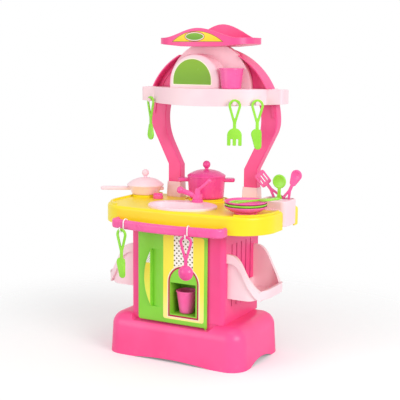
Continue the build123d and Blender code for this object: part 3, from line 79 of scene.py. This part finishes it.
# %% A socket that can be counted with
class Signal:
    """One output of a shader node, or a bare start from which nodes are made."""

    def __init__(self, tree, socket=None):
        self.tree = tree
        self.socket = socket

    def node(self, kind, settings=None, inputs=None, output=0):
        """Make any node: its settings first, then the values or links of its sockets."""
        made = self.tree.nodes.new(kind)
        for name, value in (settings or {}).items():
            setattr(made, name, value)
        for name, value in (inputs or {}).items():
            if isinstance(value, Signal):
                self.tree.links.new(value.socket, made.inputs[name])
            else:
                made.inputs[name].default_value = value
        return Signal(self.tree, made.outputs[output])

    def into(self, node, socket):
        """Link this signal to a socket of a node that is already there."""
        self.tree.links.new(self.socket, node.inputs[socket])

    def math(self, operation, first, second=0.0):
        """One Math node."""
        return self.node("ShaderNodeMath", {"operation": operation}, {0: first, 1: second})

    def __add__(self, other):
        return self.math("ADD", self, other)

    def __radd__(self, other):
        return self.math("ADD", other, self)

    def __sub__(self, other):
        return self.math("SUBTRACT", self, other)

    def __rsub__(self, other):
        return self.math("SUBTRACT", other, self)

    def __mul__(self, other):
        return self.math("MULTIPLY", self, other)

    def __rmul__(self, other):
        return self.math("MULTIPLY", other, self)

    def __abs__(self):
        return self.math("ABSOLUTE", self)

    def along(self, axis):
        """One of the three numbers of a point: X, Y or Z."""
        return self.node("ShaderNodeSeparateXYZ", inputs={0: self}, output=axis)

    def noise(self, scale, detail=2.0):
        """Noise read at these coordinates."""
        values = {"Vector": self, "Scale": scale, "Detail": detail}
        return self.node("ShaderNodeTexNoise", inputs=values)

    def bumps(self, strength, depth, **more):
        """A surface normal that rises and falls with this signal."""
        values = {"Strength": strength, "Distance": depth, "Height": self, **more}
        return self.node("ShaderNodeBump", inputs=values)

    def fraction(self):
        """What is left after the whole number, which makes a pattern repeat."""
        return self.math("FRACT", self)

    def rise(self, low, high):
        """Nought below low, one above high, and a smooth step between them."""
        limits = {"Value": self, "From Min": low, "From Max": high}
        return self.node("ShaderNodeMapRange", {"interpolation_type": "SMOOTHSTEP"}, limits)

    def blend(self, first, second):
        """Mix two colours, with this signal as the share of the second."""
        return self.node("ShaderNodeMix", {"data_type": "RGBA"}, {0: self, 6: first, 7: second}, 2)


print("signals add, subtract, multiply and blend")

# %% [markdown]
# ## The studio
# The toy stands on white card. A tent of white light is what the camera and the gloss see,
# and a dimmer one lights the plastic, so that a colour comes out about as bright as it is written.
# Of three large soft lamps the one on the right is the strongest,
# because the right-hand sides of the toy are its lightest ones.
# The card fades away before its edge, so only the soft shadow under the toy stays.

# %% Tent of light
tent_glow = 0.62
world = bpy.data.worlds.new("white_tent")
world.use_nodes = True
scene.world = world
tent = Signal(world.node_tree)
camera_ray = tent.node("ShaderNodeLightPath", output="Is Camera Ray")
glossy_ray = tent.node("ShaderNodeLightPath", output="Is Glossy Ray")
clear_ray = tent.node("ShaderNodeLightPath", output="Is Transmission Ray")
seen = tent.math("MAXIMUM", camera_ray, tent.math("MAXIMUM", glossy_ray, clear_ray))
background = world.node_tree.nodes["Background"]
background.inputs["Color"].default_value = (1, 1, 1, 1)
(tent_glow + (1 - tent_glow) * seen).into(background, "Strength")
print("tent glows at", tent_glow)


# %% Lamps
def softbox(name, place, across, power):
    """A round cloth-fronted lamp that looks at the middle of the toy."""
    lamp = bpy.data.lights.new(name, "AREA")
    lamp.shape = "DISK"
    lamp.size = across
    lamp.energy = power
    stand = bpy.data.objects.new(name, lamp)
    stand.matrix_world = aimed(Vector(place), target)
    scene.collection.objects.link(stand)
    print(name, power, "W")


softbox("right_lamp", place=(2.2, -1.0, 1.2), across=1.5, power=32)
softbox("left_lamp", place=(-1.3, -2.1, 0.8), across=1.6, power=15)
softbox("top_lamp", place=(0.2, -0.3, 2.6), across=1.6, power=9)

# %% Card
card_radius = 2.0
card_clear_from = 0.42
card_clear_at = 1.0
card_white = (0.88, 0.88, 0.88, 1)
card_lift = 0.16
sheet = bmesh.new()
bmesh.ops.create_circle(sheet, cap_ends=True, segments=64, radius=card_radius)
card_mesh = bpy.data.meshes.new("white_card")
sheet.to_mesh(card_mesh)
sheet.free()
card = bpy.data.objects.new("white_card", card_mesh)
scene.collection.objects.link(card)
card_paper = bpy.data.materials.new("white_card")
card_paper.use_nodes = True
paper = Signal(card_paper.node_tree)
spot = paper.node("ShaderNodeTexCoord", output="Object")
reach = paper.node("ShaderNodeVectorMath", {"operation": "LENGTH"}, {0: spot}, "Value")
matt = paper.node("ShaderNodeBsdfDiffuse", inputs={"Color": card_white})
seen_by_eye = paper.node("ShaderNodeLightPath", output="Is Camera Ray")
glow = {"Color": (1, 1, 1, 1), "Strength": card_lift * seen_by_eye}
lift = paper.node("ShaderNodeEmission", inputs=glow)
lit = paper.node("ShaderNodeAddShader", inputs={0: matt, 1: lift})
gone = paper.node("ShaderNodeBsdfTransparent")
clear = reach.rise(card_clear_from, card_clear_at)
faded = paper.node("ShaderNodeMixShader", inputs={0: clear, 1: lit, 2: gone})
faded.into(card_paper.node_tree.nodes["Material Output"], "Surface")
card_mesh.materials.append(card_paper)
print("card is", 2 * card_radius, "m across")


# %% [markdown]
# ## Moulded plastic
# All of the toy but its screws is plastic, coloured right through and moulded with a satin gloss.
# A flat colour would look like a drawing, and scanned pictures aren't needed for something this plain.
# So the finish is made of noise: broad clouds where the melt flowed, a fine orange peel in the skin,
# duller rubbed patches, and a paler line along the edges, where hands and other toys polish it;
# on the canopy that line is wider and is a painted highlight.
# The Bevel node finds those edges and also rounds them for the light, without more faces.


# %% Colours and empty materials
def tone(code):
    """A web colour as the linear light that shaders count in."""
    shares = [int(code[digit : digit + 2], 16) / 255 for digit in (0, 2, 4)]
    return (*Color(shares).from_srgb_to_scene_linear(), 1.0)


def new_finish(name):
    """An empty material, its shader, and the signal of its Object coordinates."""
    material = bpy.data.materials.new(name)
    material.use_nodes = True
    start = Signal(material.node_tree)
    place = start.node("ShaderNodeTexCoord", output="Object")
    return material, material.node_tree.nodes["Principled BSDF"], place


print("hot pink is", [round(share, 3) for share in tone("FB5296")])

# %% Plastic
rub_scale = 70.0
peel_scale = 900.0
peel_strength = 0.12
peel_depth = 0.0002
polish_and_highlight_share = 0.45
scuff_share = 0.12
dull_share = 0.07
plastic_ior = 1.49
cloud_band = (0.3, 0.7)
dull_band = (0.52, 0.75)
scuff_band = (0.5, 0.8)
polish_and_highlight_band = (0.02, 0.3)


def moulded(name, colour, deep, pale, gloss=0.34, flow=9.0, edge=0.0008, scuff_height=0.0):
    """Moulded plastic: two shades of one colour, paler edges, and scuffs up to a height above the floor."""
    material, shader, place = new_finish(name)
    cloud = place.noise(flow)
    rub = place.noise(rub_scale, detail=4.0)
    peel = place.noise(peel_scale, detail=1.0)
    rounded = place.node("ShaderNodeBevel", {"samples": 6}, {"Radius": edge})
    straight = place.node("ShaderNodeNewGeometry", output="Normal")
    both = {0: rounded, 1: straight}
    agree = place.node("ShaderNodeVectorMath", {"operation": "DOT_PRODUCT"}, both, "Value")
    # Paler edges: polish from handling, and on the canopy a painted highlight.
    polish_and_highlight = polish_and_highlight_share * (1 - agree).rise(*polish_and_highlight_band)
    body = cloud.rise(*cloud_band).blend(tone(deep), tone(colour))
    dull = rub.rise(*dull_band)
    if scuff_height:
        low = 1 - place.along("Z").rise(0.0, scuff_height)
        scuff = low * rub.rise(*scuff_band)
        body = (scuff_share * scuff).blend(body, tone(pale))
        dull = dull + scuff
    polish_and_highlight.blend(body, tone(pale)).into(shader, "Base Color")
    (gloss + dull_share * dull).into(shader, "Roughness")
    peel.bumps(peel_strength, peel_depth, Normal=rounded).into(shader, "Normal")
    shader.inputs["IOR"].default_value = plastic_ior
    print(name, "gloss", gloss)
    return material


# %% [markdown]
# ## What is made of what
# The big shells are of hot pink plastic, and the base carries the scuffs of a toy that is pushed
# over a floor.
# The canopy's edges are wider and paler: a painted highlight along its thin rim.
# Pots, cups and cutlery are small and glossier, so the clouds in them are finer.
# A CAD node keeps its mesh: only its material slots are filled.

# %% Plastics of the kitchen
small = {"gloss": 0.26, "flow": 30.0, "edge": 0.0005}
plastics = {
    moulded("base_pink", "FB5296", "F7468B", "FF8FBC", scuff_height=0.05): ["base_plinth"],
    moulded("shell_pink", "FB5296", "F7468B", "FF8FBC"): [
        "cabinet_front_frame", "cabinet_left_side", "cabinet_right_side", "cabinet_back",
        "left_upright", "right_upright",
    ],
    # The canopy's wide pale edges are a painted highlight along its rim.
    moulded("canopy_pink", "FB5296", "F7468B", "FFC2DA", edge=0.002): ["canopy"],
    moulded("rose", "FB66AB", "F95AA2", "FF9CCB", **small): [
        "towel_rail", "tap_base", "tap_spout", "tap_lever", "hob_knob", "niche_cup", "shelf_cup",
        "plate_lower", "plate_upper", "holder_turner", "holder_blade",
    ],
    moulded("pale_pink", "FDDEE4", "FBD3DC", "FFF0F3"): [
        "sink_basin", "left_socket", "right_socket", "upper_shelf", "oven_panel",
        "left_basket", "right_basket", "utensil_holder", "pan", "pan_lid",
    ],
    moulded("worktop_yellow", "FCE51C", "F9DF14", "FFF27A"): ["worktop"],
    moulded("door_green", "8EDC3E", "84D334", "B4EE74"): ["door_panel"],
    moulded("cutlery_green", "9CE640", "92DD36", "C4F780", **small): [
        "hanging_knife", "shelf_spoon", "shelf_fork", "shelf_knife",
        "holder_round_spoon", "plate_knife", "plate_middle",
    ],
    moulded("magenta", "F4549F", "EC4593", "F97BB4", **small): ["hanging_ladle", "pot", "pot_lid"],
    moulded("hook_white", "F4F2EF", "EAE7E3", "FFFFFF", **small): ["ladle_hook", "knife_hook"],
}
for plastic, nodes in plastics.items():
    for node in nodes:
        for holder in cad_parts[node].material_slots:
            holder.material = plastic
print(sum(len(nodes) for nodes in plastics.values()), "nodes have their plastic")

# %% [markdown]
# ## Steel screws
# The six screws in the back are the only metal. Their heads are turned and zinc plated,
# so fine noise varies the roughness, and a little darkness gathers in the plating.

# %% Steel
turned_scale = 1500.0
stain_scale = 260.0
turned_strength = 0.1
turned_depth = 0.0002
turned_share = 0.2
stain_band = (0.35, 0.7)
steel_gloss = 0.24
screw_steel, shader, place = new_finish("screw_steel")
turned = place.noise(turned_scale, detail=3.0)
stain = place.noise(stain_scale).rise(*stain_band)
stain.blend(tone("A8A9AB"), tone("C6C7C8")).into(shader, "Base Color")
(steel_gloss + turned_share * turned).into(shader, "Roughness")
turned.bumps(turned_strength, turned_depth).into(shader, "Normal")
shader.inputs["Metallic"].default_value = 1.0
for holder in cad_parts["back_screws"].material_slots:
    holder.material = screw_steel
print("screws are steel")

# %% [markdown]
# ## Printed film
# The labels are printed plastic film, glossier than the moulding and a hair thick.
# The film finish takes any colour signal, adds a faint print grain to it,
# and lets the gloss vary as film does.


# %% Film
grain_scale = 1800.0
grain_share = 0.03
grain_band = (0.35, 0.75)
film_gloss = 0.2
ripple_scale = 45.0
ripple_share = 0.1
ripple_strength = 0.08
ripple_depth = 0.0004
film_specular = 0.25


def film(name, ink):
    """Printed film: ink is a function that makes the colour from the signal of Object coordinates."""
    material, shader, place = new_finish(name)
    ripple = place.noise(ripple_scale)
    faint = grain_share * place.noise(grain_scale).rise(*grain_band)
    faint.blend(ink(place), (1, 1, 1, 1)).into(shader, "Base Color")
    (film_gloss + ripple_share * ripple).into(shader, "Roughness")
    ripple.bumps(ripple_strength, ripple_depth).into(shader, "Normal")
    shader.inputs["Specular IOR Level"].default_value = film_specular
    print(name, "is film")
    return material


def shaded(dark, light, low, high):
    """Colour that runs from a darker one at a low height to a lighter one at a high one: painted shade that
    deepens lower down.
    """

    def ink(place):
        return place.along("Z").rise(low, high).blend(tone(dark), tone(light))

    return ink


# Cream and wine films are made darker low in the kitchen and paler high up, as painted shade.
painted_shade_bottom = 0.1
painted_shade_top = 0.8
cream_film = film("cream_film", shaded("F6E9C8", "FBF3DC", painted_shade_bottom, painted_shade_top))
wine_film = film("wine_film", shaded("B41444", "C21A4E", painted_shade_bottom, painted_shade_top))

# %% [markdown]
# ## Shapes of the labels
# Two outlines make most of the labels: an arch with upright sides, and a segment of a circle.
# Each starts as one point, which a spin draws round a centre.
# The loop is closed and filled as a single face.
# Insets then make its borders, and drawing it forwards gives the film its thickness.

# %% Outlines
film_thick = 0.0004
arc_steps = 32


def close_loop(sheet):
    """Join the two loose ends of a chain of edges and fill the loop."""
    ends = [point for point in sheet.verts if len(point.link_edges) == 1]
    bmesh.ops.contextual_create(sheet, geom=ends)
    return bmesh.ops.contextual_create(sheet, geom=sheet.edges[:])["faces"][0]


def arch_face(sheet, middle, half, low, spring, depth):
    """A face with upright sides from low to spring and a half-round top, at a depth along Y."""
    first = bmesh.ops.create_vert(sheet, co=(middle + half, depth, spring))["vert"]
    crown = (middle, depth, spring)
    half_turn = {"axis": (0, -1, 0), "angle": math.pi, "steps": arc_steps}
    turn = bmesh.ops.spin(sheet, geom=first, cent=crown, **half_turn)
    last = [part for part in turn["geom_last"] if isinstance(part, bmesh.types.BMVert)]
    feet = bmesh.ops.extrude_vert_indiv(sheet, verts=first + last)["verts"]
    bmesh.ops.translate(sheet, verts=feet, vec=(0, 0, low - spring))
    return close_loop(sheet)


def segment_face(sheet, half, rise):
    """A segment of a circle that stands on its chord, with the chord's middle at the origin."""
    radius = (half**2 + rise**2) / (2 * rise)
    angle = 2 * math.asin(half / radius)
    first = bmesh.ops.create_vert(sheet, co=(half, 0, 0))["vert"]
    centre = (0, 0, rise - radius)
    bmesh.ops.spin(sheet, geom=first, cent=centre, axis=(0, -1, 0), angle=angle, steps=arc_steps)
    return close_loop(sheet)


def border(sheet, face, width, ink):
    """Inset a face from its outer edge, and give the ring round it a material number."""
    sheet.normal_update()
    inwards = {"use_boundary": True, "use_even_offset": True, "thickness": width}
    ring = bmesh.ops.inset_region(sheet, faces=[face], **inwards)
    for part in ring["faces"]:
        part.material_index = ink


def round_off(sheet, corners, radius, steps):
    """Round the corners of a flat sheet."""
    curve = {"affect": "VERTICES", "segments": steps, "profile": 0.5, "material": -1}
    bmesh.ops.bevel(sheet, geom=corners, offset=radius, **curve)


def thicken(sheet, depth):
    """Draw a flat sheet forwards into a thin plate."""
    front = bmesh.ops.extrude_face_region(sheet, geom=sheet.faces[:])["geom"]
    points = [part for part in front if isinstance(part, bmesh.types.BMVert)]
    bmesh.ops.translate(sheet, verts=points, vec=(0, -depth, 0))


def stick(sheet, name, body, slot, *films):
    """Turn a finished sheet into a piece that rides on a body."""
    bmesh.ops.recalc_face_normals(sheet, faces=sheet.faces[:])
    loose = sum(1 for edge in sheet.edges if not edge.is_manifold)
    mesh = bpy.data.meshes.new(name)
    sheet.to_mesh(mesh)
    sheet.free()
    for layer in films:
        mesh.materials.append(layer)
    piece = bpy.data.objects.new(name, mesh)
    scene.collection.objects.link(piece)
    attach(piece, body)
    print(name, len(mesh.polygons), "faces,", loose, "open edges")


# %% [markdown]
# ## The door's label
# The door carries a yellow label with an arch cut out of it, where the green door and its niche show.
# A white strip with small staggered dots runs down its middle to the arch.
# The sheet is a bevelled rectangle with the arch as a hole in it, and both loops are filled together.
# The strip is no geometry: two slanted rulings of the surface cross in a lattice,
# and each crossing is a dot.

# %% Door label
door_face = -0.101
arch_middle = 0.025
arch_half = 0.0455
arch_low = 0.109
arch_spring = 0.1985
label_half = 0.057
label_low = 0.105
label_high = 0.3165
label_corner = 0.006
strip_half = 0.027
strip_fade = 0.001
dot_pitch = 0.0124
dot_radius = 0.0021
lemon_from = 0.2
print_blur = 0.0003
dot_firm = 0.7
dot_faint = 1.3


def dotted(place, pitch, radius):
    """One inside the dots of a slanted lattice, and nought between them."""
    across = place.along("X")
    height = place.along("Z")
    one_way = ((across + height) * (1 / pitch)).fraction() - 0.5
    other_way = ((across - height) * (1 / pitch)).fraction() - 0.5
    spread = one_way * one_way + other_way * other_way
    rim = 2 * (radius / pitch) ** 2
    return 1 - spread.rise(dot_firm * rim, dot_faint * rim)


def door_ink(place):
    """Yellow, with the dotted white strip in the middle."""
    height = place.along("Z")
    dots = dotted(place, dot_pitch, dot_radius)
    outside = abs(place.along("X") - arch_middle).rise(strip_half - print_blur, strip_half + print_blur)
    strip = (1 - outside) * height.rise(arch_spring, arch_spring + strip_fade)
    yellow = height.rise(label_low, lemon_from).blend(tone("FDF391"), tone("FEEF4E"))
    return strip.blend(yellow, dots.blend(tone("FBF8F0"), tone("5A5A20")))


sheet = bmesh.new()
label_centre = Matrix.Translation((arch_middle, door_face, (label_low + label_high) / 2))
upright = label_centre @ Matrix.Rotation(math.pi / 2, 4, "X")
sides = Matrix.Diagonal((label_half, (label_high - label_low) / 2, 1, 1))
plain = {"x_segments": 1, "y_segments": 1, "size": 1}
corners = bmesh.ops.create_grid(sheet, matrix=upright @ sides, **plain)["verts"]
round_off(sheet, corners, label_corner, steps=6)
hole = bmesh.new()
arch_face(hole, arch_middle, arch_half, arch_low, arch_spring, door_face)
hole_mesh = bpy.data.meshes.new("arch_hole")
hole.to_mesh(hole_mesh)
hole.free()
sheet.from_mesh(hole_mesh)
bmesh.ops.delete(sheet, geom=sheet.faces[:], context="FACES_ONLY")
bmesh.ops.triangle_fill(sheet, edges=sheet.edges[:], use_beauty=True)
thicken(sheet, film_thick)
stick(sheet, "door_label", "door", "yellow", film("door_film", door_ink))

# %% [markdown]
# ## The arch's trim
# A crimson line and a cream one outside it follow the arch, like the stones round an oven's mouth.
# They are the same arch again, inset twice, with the middle taken out.

# %% Arch trim
cream_line = 0.003
wine_line = 0.004
trim_thick = 1.5 * film_thick
sheet = bmesh.new()
mouth = arch_face(sheet, arch_middle, arch_half, arch_low, arch_spring, door_face)
border(sheet, mouth, cream_line, 0)
border(sheet, mouth, wine_line, 1)
bmesh.ops.delete(sheet, geom=[mouth], context="FACES")
thicken(sheet, trim_thick)
stick(sheet, "arch_trim", "door", "magenta", cream_film, wine_film)

# %% [markdown]
# ## The grip's label
# A segment of film lies on the raised grip at the door's free edge: yellow below,
# and white with fine dots at its top. It is a segment of a circle turned on its side.

# %% Grip label
grip_face = -0.106
grip_chord = -0.0675
grip_middle = 0.204
grip_half = 0.066
grip_rise = 0.0165
grip_lime_to = 0.15
grip_white_from = 0.242
grip_dot_pitch = 0.006
grip_dot_radius = 0.0009


def grip_ink(place):
    """Yellow, with a dotted white top."""
    height = place.along("Z")
    dots = dotted(place, grip_dot_pitch, grip_dot_radius)
    white = height.rise(grip_white_from - print_blur, grip_white_from + print_blur)
    yellow = height.rise(grip_lime_to, grip_white_from).blend(tone("E9EE5A"), tone("FBE44E"))
    return white.blend(yellow, dots.blend(tone("F7F5EE"), tone("8A8A6A")))


sheet = bmesh.new()
segment_face(sheet, grip_half, grip_rise)
grip_place = Matrix.Translation((grip_chord, grip_face, grip_middle))
on_its_side = Matrix.Rotation(-math.pi / 2, 4, "Y")
bmesh.ops.transform(sheet, matrix=grip_place @ on_its_side, verts=sheet.verts[:])
thicken(sheet, film_thick)
stick(sheet, "grip_label", "door", "yellow", film("grip_film", grip_ink))

# %% [markdown]
# ## The oven's label
# The oven above the shelf has a green arched label with a cream border and rounded lower corners.
# It is the arch again, lower and wider, with one inset.

# %% Oven label
oven_face = 0.032
oven_middle = -0.0275
oven_half = 0.0565
oven_low = 0.676
oven_spring = 0.688
oven_corner = 0.005
oven_border = 0.0026
oven_dark_to = 0.68
oven_light_from = 0.745
sheet = bmesh.new()
arch_face(sheet, oven_middle, oven_half, oven_low, oven_spring, oven_face)
feet = [point for point in sheet.verts if point.co.z < oven_low + oven_corner]
round_off(sheet, feet, oven_corner, steps=5)
border(sheet, sheet.faces[:][0], oven_border, 1)
thicken(sheet, film_thick)
# The oven label's green is painted darker at its foot and lighter at its top: painted shade.
oven_film = film("oven_film", shaded("72A800", "86B80A", oven_dark_to, oven_light_from))
stick(sheet, "oven_label", "kitchen", "door_green", oven_film, cream_film)

# %% [markdown]
# ## The canopy's label
# The canopy's front wall is bowed, and its yellow label follows it, with a plain oval badge in the middle.
# Both are made flat, ruled into upright strips by bisecting planes,
# and pushed back by the arc of the wall.
# Bending comes last, because insets and circles are simpler on a flat sheet.

# %% Canopy label
canopy_face = 0.008
canopy_radius = 0.6106
canopy_middle = -0.0025
canopy_low = 0.784
canopy_half = 0.0725
canopy_rise = 0.0265
canopy_top = canopy_low + canopy_rise
canopy_border = 0.0012
strips = 30


def wrap(sheet):
    """Rule a flat sheet into strips and lay it on the canopy's bowed wall."""
    for step in range(1, strips):
        x = canopy_middle + canopy_half * (2 * step / strips - 1)
        parts = sheet.verts[:] + sheet.edges[:] + sheet.faces[:]
        bmesh.ops.bisect_plane(sheet, geom=parts, plane_co=(x, 0, 0), plane_no=(1, 0, 0))
    for point in sheet.verts:
        point.co.y += canopy_face + canopy_radius - math.sqrt(canopy_radius**2 - point.co.x**2)


sheet = bmesh.new()
segment = segment_face(sheet, canopy_half, canopy_rise)
bmesh.ops.translate(sheet, verts=sheet.verts[:], vec=(canopy_middle, 0, canopy_low))
border(sheet, segment, canopy_border, 1)
thicken(sheet, film_thick)
wrap(sheet)
# The lemon and umber films are painted darker low and lighter high: painted shade.
umber_dark_to = 0.7
umber_light_from = 0.9
lemon_film = film("lemon_film", shaded("F2D00C", "F9E23A", canopy_low, canopy_top))
umber_film = film("umber_film", shaded("8A5A2A", "96662F", umber_dark_to, umber_light_from))
stick(sheet, "canopy_label", "kitchen", "yellow", lemon_film, umber_film)

# %% Canopy badge
badge_middle = -0.008
badge_height = 0.797
badge_half = 0.028
badge_rise = 0.0118
badge_ring = 0.0016
sheet = bmesh.new()
centre = Matrix.Translation((badge_middle, -film_thick, badge_height))
stretch = Matrix.Diagonal((badge_half, badge_rise, 1, 1))
oval = centre @ Matrix.Rotation(math.pi / 2, 4, "X") @ stretch
bmesh.ops.create_circle(sheet, cap_ends=True, segments=48, radius=1, matrix=oval)
badge = sheet.faces[:][0]
border(sheet, badge, badge_ring, 1)
border(sheet, badge, badge_ring, 2)
thicken(sheet, film_thick)
wrap(sheet)
# The badge's green is painted darker low and lighter high: painted shade.
leaf_film = film("leaf_film", shaded("5F9A10", "82B828", canopy_low, canopy_top))
stick(sheet, "canopy_badge", "kitchen", "door_green", leaf_film, wine_film, cream_film)
